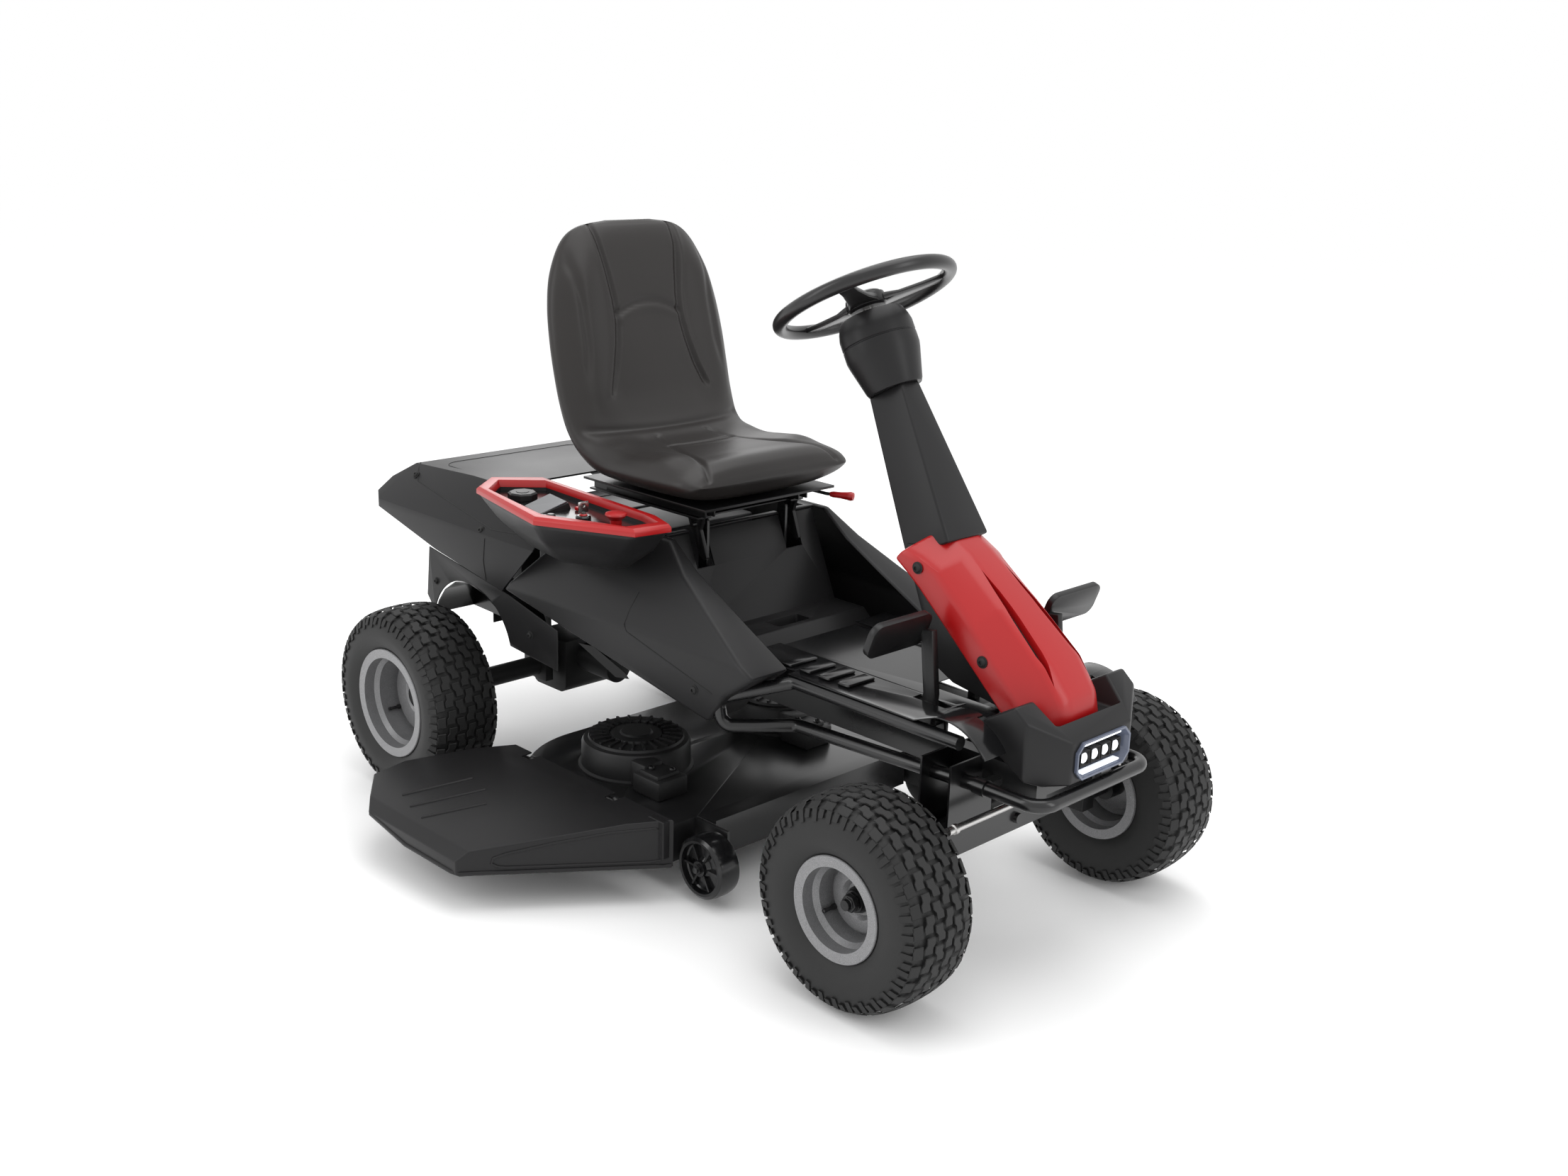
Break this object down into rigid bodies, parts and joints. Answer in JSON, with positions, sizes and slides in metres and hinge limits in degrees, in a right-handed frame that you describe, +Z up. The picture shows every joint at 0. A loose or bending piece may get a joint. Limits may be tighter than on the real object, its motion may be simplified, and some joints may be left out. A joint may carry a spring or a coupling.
{
  "type": "riding lawn mower",
  "caption": "Compact ride-on mower: side-discharge cutting deck between the axles, steered front wheels, tilting seat, steering column over a sloping hood, side console.",
  "frame": {"origin": "on the ground, under the middle of the whole machine with its discharge chute", "axes": "+X forwards along the direction of travel, +Y to the left of the rider, +Z up"},
  "size_m": [1.8076, 1.195, 1.2035],
  "materials": {
    "tyre_rubber": "matte block tread",
    "rim_grey": "satin grey with a fine speckle",
    "frame_black": "semi-gloss black",
    "panel_charcoal": "fine-grained charcoal",
    "hood_red": "gloss red",
    "floor_black": "gloss black",
    "mechanism_black": "satin black",
    "alloy_black": "dark cast",
    "battery_black": "moulded case",
    "bright_steel": "bare turned steel",
    "blade_steel": "dark rolled steel",
    "seat_vinyl": "smooth dark grey vinyl over foam",
    "grip_black": "soft grip",
    "lens": "clear lens over lamps",
    "small_black": "moulded",
    "cable_black": "sheathed cable"
  },
  "bodies": {
    "chassis": {"frame": "frame_black", "side_rails": "frame_black", "front_bumper": "frame_black", "footrests": "floor_black", "floor_pads": "grip_black", "floor_tunnel": "floor_black", "column_base": "panel_charcoal", "hood": "hood_red", "nose_mask": "panel_charcoal", "headlight": "lens", "steering_column": "panel_charcoal", "column_collar": "panel_charcoal", "side_panels": "panel_charcoal", "rear_cover": "panel_charcoal", "seat_surround": "panel_charcoal", "seat_front_panel": "panel_charcoal", "wheel_guards": "frame_black", "battery_packs": "battery_black", "motor_controller": "alloy_black", "transaxle": "alloy_black", "hitch_plate": "frame_black", "console_tub": "panel_charcoal", "console_bezel": "hood_red", "console_panel": "small_black", "brake_cable": "cable_black"},
    "front_axle": {"axle_beam": "frame_black"},
    "pitman": {"pitman_arm": "mechanism_black"},
    "steering": {"steering_wheel": "grip_black", "steering_shaft": "bright_steel"},
    "seat_frame": {"seat_hinge": "mechanism_black"},
    "seat": {"seat_pan": "mechanism_black", "seat_cushion": "seat_vinyl"},
    "seat_release": {"seat_lever": "mechanism_black"},
    "deck": {"deck_shell": "frame_black", "deck_motors": "alloy_black"},
    "chute": {"discharge_chute": "panel_charcoal"},
    "deck_lever": {"lift_lever": "mechanism_black"},
    "drive_pedal": {"drive_pedal": "mechanism_black"},
    "brake_pedal": {"brake_pedal": "mechanism_black"},
    "key": {"ignition_key": "bright_steel"},
    "knob": {"blade_knob": "hood_red"},
    "cap": {"charge_cap": "small_black"},
    "switch": {"speed_switch": "small_black"},
    "knuckle_left": {"knuckle_left": "mechanism_black"},
    "front_wheel_left": {"front_tyre_left": "tyre_rubber", "front_rim_left": "rim_grey"},
    "rear_wheel_left": {"rear_tyre_left": "tyre_rubber", "rear_rim_left": "rim_grey"},
    "tie_rod_left": {"tie_rod_left": "bright_steel"},
    "blade_left": {"blade_left": "blade_steel"},
    "roller_left": {"deck_roller_left": "small_black"},
    "knuckle_right": {"knuckle_right": "mechanism_black"},
    "front_wheel_right": {"front_tyre_right": "tyre_rubber", "front_rim_right": "rim_grey"},
    "rear_wheel_right": {"rear_tyre_right": "tyre_rubber", "rear_rim_right": "rim_grey"},
    "tie_rod_right": {"tie_rod_right": "bright_steel"},
    "blade_right": {"blade_right": "blade_steel"},
    "roller_right": {"deck_roller_right": "small_black"}
  },
  "joints": [
    {"name": "steering_turn", "type": "hinge", "parent": "chassis", "child": "steering", "pos_m": [0.30825, 0.1025, 1.112], "axis": [-0.4848, 0, 0.8746], "range_deg": [-150, 150]},
    {"name": "axle_rock", "type": "hinge", "parent": "chassis", "child": "front_axle", "pos_m": [0.69725, 0.1025, 0.235], "axis": [1, 0, 0], "range_deg": [-4, 4]},
    {"name": "pitman_turn", "type": "hinge", "parent": "chassis", "child": "pitman", "pos_m": [0.69725, 0.1025, 0.305], "axis": [0, 0, 1], "range_deg": [-33, 33]},
    {"name": "kingpin_left", "type": "hinge", "parent": "front_axle", "child": "knuckle_left", "pos_m": [0.69725, 0.3525, 0.235], "axis": [0, 0, 1], "range_deg": [-33, 33]},
    {"name": "front_wheel_left_spin", "type": "hinge", "parent": "knuckle_left", "child": "front_wheel_left", "pos_m": [0.69725, 0.4675, 0.1875], "axis": [0, 1, 0], "continuous": true},
    {"name": "tie_rod_left_turn", "type": "hinge", "parent": "knuckle_left", "child": "tie_rod_left", "pos_m": [0.76725, 0.3645, 0.292], "axis": [0, 0, 1], "range_deg": [-33, 33]},
    {"name": "rear_wheel_left_spin", "type": "hinge", "parent": "chassis", "child": "rear_wheel_left", "pos_m": [-0.55275, 0.5175, 0.2], "axis": [0, 1, 0], "continuous": true},
    {"name": "blade_left_spin", "type": "hinge", "parent": "deck", "child": "blade_left", "pos_m": [-0.07775, 0.3075, 0.084], "axis": [0, 0, 1], "continuous": true},
    {"name": "roller_left_spin", "type": "hinge", "parent": "deck", "child": "roller_left", "pos_m": [0.27325, 0.4245, 0.076], "axis": [0, 1, 0], "continuous": true},
    {"name": "kingpin_right", "type": "hinge", "parent": "front_axle", "child": "knuckle_right", "pos_m": [0.69725, -0.1475, 0.235], "axis": [0, 0, 1], "range_deg": [-33, 33]},
    {"name": "front_wheel_right_spin", "type": "hinge", "parent": "knuckle_right", "child": "front_wheel_right", "pos_m": [0.69725, -0.2625, 0.1875], "axis": [0, 1, 0], "continuous": true},
    {"name": "tie_rod_right_turn", "type": "hinge", "parent": "knuckle_right", "child": "tie_rod_right", "pos_m": [0.76725, -0.1595, 0.292], "axis": [0, 0, 1], "range_deg": [-33, 33]},
    {"name": "rear_wheel_right_spin", "type": "hinge", "parent": "chassis", "child": "rear_wheel_right", "pos_m": [-0.55275, -0.3125, 0.2], "axis": [0, 1, 0], "continuous": true},
    {"name": "blade_right_spin", "type": "hinge", "parent": "deck", "child": "blade_right", "pos_m": [-0.07775, -0.1025, 0.084], "axis": [0, 0, 1], "continuous": true},
    {"name": "roller_right_spin", "type": "hinge", "parent": "deck", "child": "roller_right", "pos_m": [0.27325, -0.2195, 0.076], "axis": [0, 1, 0], "continuous": true},
    {"name": "lift_lever_turn", "type": "hinge", "parent": "chassis", "child": "deck_lever", "pos_m": [-0.20075, 0.1025, 0.318], "axis": [0, -1, 0], "range_deg": [0, 45]},
    {"name": "deck_lift", "type": "slide", "parent": "chassis", "child": "deck", "axis": [0, 0, 1], "range_m": [0, 0.055]},
    {"name": "chute_tilt", "type": "hinge", "parent": "deck", "child": "chute", "pos_m": [-0.05275, -0.2815, 0.158], "axis": [-1, 0, 0], "range_deg": [0, 50]},
    {"name": "seat_tilt", "type": "hinge", "parent": "chassis", "child": "seat_frame", "pos_m": [0.00925, 0.1025, 0.65], "axis": [0, 1, 0], "range_deg": [0, 36]},
    {"name": "seat_slide", "type": "slide", "parent": "seat_frame", "child": "seat", "axis": [1, 0, 0], "range_m": [-0.06, 0.05]},
    {"name": "seat_release_turn", "type": "hinge", "parent": "seat", "child": "seat_release", "pos_m": [0.00725, 0.2625, 0.683], "axis": [0, 0, 1], "range_deg": [0, 15], "stiffness_Nm_per_rad": 0.4, "springref_deg": -8.59},
    {"name": "drive_pedal_press", "type": "hinge", "parent": "chassis", "child": "drive_pedal", "pos_m": [0.61525, -0.0235, 0.408], "axis": [0, 1, 0], "range_deg": [0, 14], "stiffness_Nm_per_rad": 8, "springref_deg": -14.32},
    {"name": "brake_pedal_press", "type": "hinge", "parent": "chassis", "child": "brake_pedal", "pos_m": [0.69725, 0.2285, 0.408], "axis": [0, 1, 0], "range_deg": [0, 14], "stiffness_Nm_per_rad": 8, "springref_deg": -14.32},
    {"name": "key_turn", "type": "hinge", "parent": "chassis", "child": "key", "pos_m": [-0.10075, -0.2195, 0.67], "axis": [0, 0, -1], "range_deg": [0, 60]},
    {"name": "knob_pull", "type": "slide", "parent": "chassis", "child": "knob", "axis": [0, 0, 1], "range_m": [0, 0.012]},
    {"name": "cap_twist", "type": "hinge", "parent": "chassis", "child": "cap", "pos_m": [-0.30075, -0.2155, 0.67], "axis": [0, 0, 1], "range_deg": [0, 90]},
    {"name": "switch_slide", "type": "slide", "parent": "chassis", "child": "switch", "axis": [1, 0, 0], "range_m": [-0.004, 0.004]}
  ],
  "couplings": [
    {"joint": "pitman_turn", "follows": "steering_turn", "ratio": 0.22},
    {"joint": "kingpin_left", "follows": "steering_turn", "ratio": 0.22},
    {"joint": "tie_rod_left_turn", "follows": "steering_turn", "ratio": -0.22},
    {"joint": "kingpin_right", "follows": "steering_turn", "ratio": 0.22},
    {"joint": "tie_rod_right_turn", "follows": "steering_turn", "ratio": -0.22},
    {"joint": "deck_lift", "follows": "lift_lever_turn", "m_per_rad": 0.07}
  ]
}
